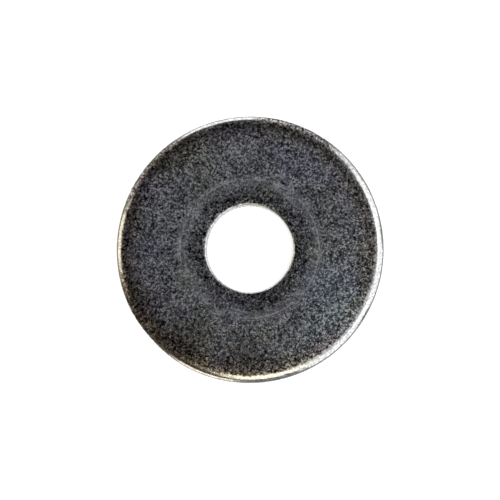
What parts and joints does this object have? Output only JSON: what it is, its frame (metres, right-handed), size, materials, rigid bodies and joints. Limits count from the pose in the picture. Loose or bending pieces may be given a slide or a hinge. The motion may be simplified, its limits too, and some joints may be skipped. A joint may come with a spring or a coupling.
{
  "type": "flat washer",
  "caption": "Large flat ring washer with a small central bolt hole, rounded upper edges and straight sheared walls; spreads a bolt's load over a thin sheet.",
  "frame": {"origin": "centre of the bolt hole, on the bottom face", "axes": "+Z along the bolt's axis, from the bottom face to the top face, whose edges are rounded; +X and +Y lie in the bottom face and any pair will do, because the ring is round"},
  "size_m": [0.0318, 0.0318, 0.0016],
  "materials": {
    "zinc_plated_steel": "barrel-plated zinc, tumbled to a dull speckled grey, clear passivated"
  },
  "bodies": {
    "root": {"washer": "zinc_plated_steel"}
  },
  "joints": []
}
